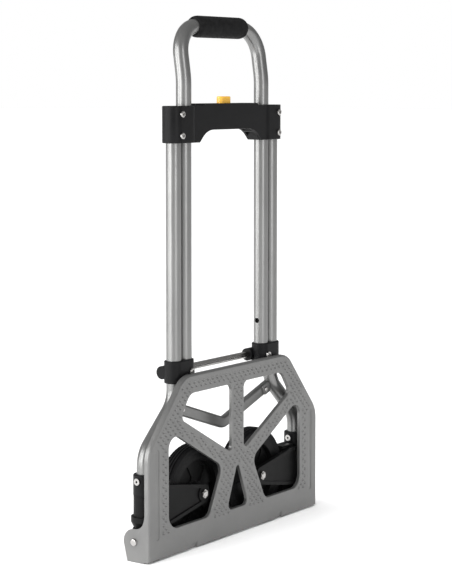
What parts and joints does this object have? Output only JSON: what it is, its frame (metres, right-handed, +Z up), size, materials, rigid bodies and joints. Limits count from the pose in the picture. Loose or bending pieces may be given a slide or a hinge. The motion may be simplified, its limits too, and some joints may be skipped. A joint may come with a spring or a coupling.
{
  "type": "folding luggage cart",
  "caption": "Folding two-wheel hand cart, folded flat, with a telescoping U handle and a pressed toe plate geared to its wheels.",
  "frame": {"origin": "on the floor under the middle of the folded cart", "axes": "+Z up along the handle; -Y towards the folded toe plate's underside; +X across the cart"},
  "size_m": [0.4296, 0.053, 0.763],
  "materials": {
    "tube": "satin, drawn along the tube",
    "plate": "satin grey coating over a pressed dimple tread",
    "gear": "moulded nylon",
    "black_plastic": "fine moulded grain",
    "arm_plastic": "fine moulded grain",
    "tread": "matt rubber",
    "foam": "fine-celled foam skin",
    "steel": "bright zinc",
    "button": "moulded, slight gloss"
  },
  "bodies": {
    "frame": {"frame_tube_left": "tube", "frame_tube_right": "tube", "clamp_left": "black_plastic", "clamp_right": "black_plastic", "clamp_rivet_left": "steel", "clamp_rivet_right": "steel", "foot_plug_left": "black_plastic", "foot_plug_right": "black_plastic", "hinge_pin_left": "steel", "hinge_pin_right": "steel", "hinge_washer_left": "steel", "hinge_washer_right": "steel", "v_brace": "plate", "brace_lugs": "plate", "brace_rivets": "steel", "bracket_housing": "black_plastic", "bracket_cover": "black_plastic", "bracket_screws_lower": "steel", "bracket_screws_upper": "steel", "button_spring": "steel"},
    "handle": {"handle_tube": "tube", "hand_grip": "foam", "carriage_screws": "steel", "cross_rod": "steel", "handle_plug_left": "black_plastic", "handle_plug_right": "black_plastic", "carriage_left": "black_plastic", "carriage_right": "black_plastic"},
    "release_button": {"release_button": "button"},
    "left_lock_pin": {"lock_pin_left": "steel"},
    "right_lock_pin": {"lock_pin_right": "steel"},
    "toe_plate": {"toe_plate": "plate", "plate_gear_left": "gear", "plate_gear_right": "gear"},
    "left_wheel_arm": {"wheel_arm_left": "arm_plastic", "axle_bolt_left": "steel", "cap_nut_left": "steel"},
    "right_wheel_arm": {"wheel_arm_right": "arm_plastic", "axle_bolt_right": "steel", "cap_nut_right": "steel"},
    "left_wheel": {"tyre_left": "tread", "rim_left": "arm_plastic"},
    "right_wheel": {"tyre_right": "tread", "rim_right": "arm_plastic"}
  },
  "joints": [
    {"name": "toe_plate_fold", "type": "hinge", "parent": "frame", "child": "toe_plate", "pos_m": [0, 0, 0.0285], "axis": [1, 0, 0], "range_deg": [0, 90]},
    {"name": "left_wheel_fold", "type": "hinge", "parent": "frame", "child": "left_wheel_arm", "pos_m": [-0.1885, 0, 0.073], "axis": [0, 0, 1], "range_deg": [0, 90]},
    {"name": "right_wheel_fold", "type": "hinge", "parent": "frame", "child": "right_wheel_arm", "pos_m": [0.1885, 0, 0.073], "axis": [0, 0, 1], "range_deg": [-90, 0]},
    {"name": "left_wheel_spin", "type": "hinge", "parent": "left_wheel_arm", "child": "left_wheel", "pos_m": [-0.0735, 0.004, 0.073], "axis": [0, 1, 0], "continuous": true},
    {"name": "right_wheel_spin", "type": "hinge", "parent": "right_wheel_arm", "child": "right_wheel", "pos_m": [0.0735, 0.004, 0.073], "axis": [0, 1, 0], "continuous": true},
    {"name": "handle_slide", "type": "slide", "parent": "frame", "child": "handle", "axis": [0, 0, 1], "range_m": [0, 0.3]},
    {"name": "button_press", "type": "slide", "parent": "frame", "child": "release_button", "axis": [0, 0, -1], "range_m": [0, 0.004], "stiffness_N_per_m": 600, "springref_m": -0.003},
    {"name": "left_lock_slide", "type": "slide", "parent": "frame", "child": "left_lock_pin", "axis": [1, 0, 0], "range_m": [0, 0.004]},
    {"name": "right_lock_slide", "type": "slide", "parent": "frame", "child": "right_lock_pin", "axis": [-1, 0, 0], "range_m": [0, 0.004]}
  ],
  "couplings": [
    {"joint": "left_wheel_fold", "follows": "toe_plate_fold", "ratio": 1},
    {"joint": "right_wheel_fold", "follows": "toe_plate_fold", "ratio": -1},
    {"joint": "left_lock_slide", "follows": "button_press", "ratio": 1},
    {"joint": "right_lock_slide", "follows": "button_press", "ratio": 1}
  ]
}
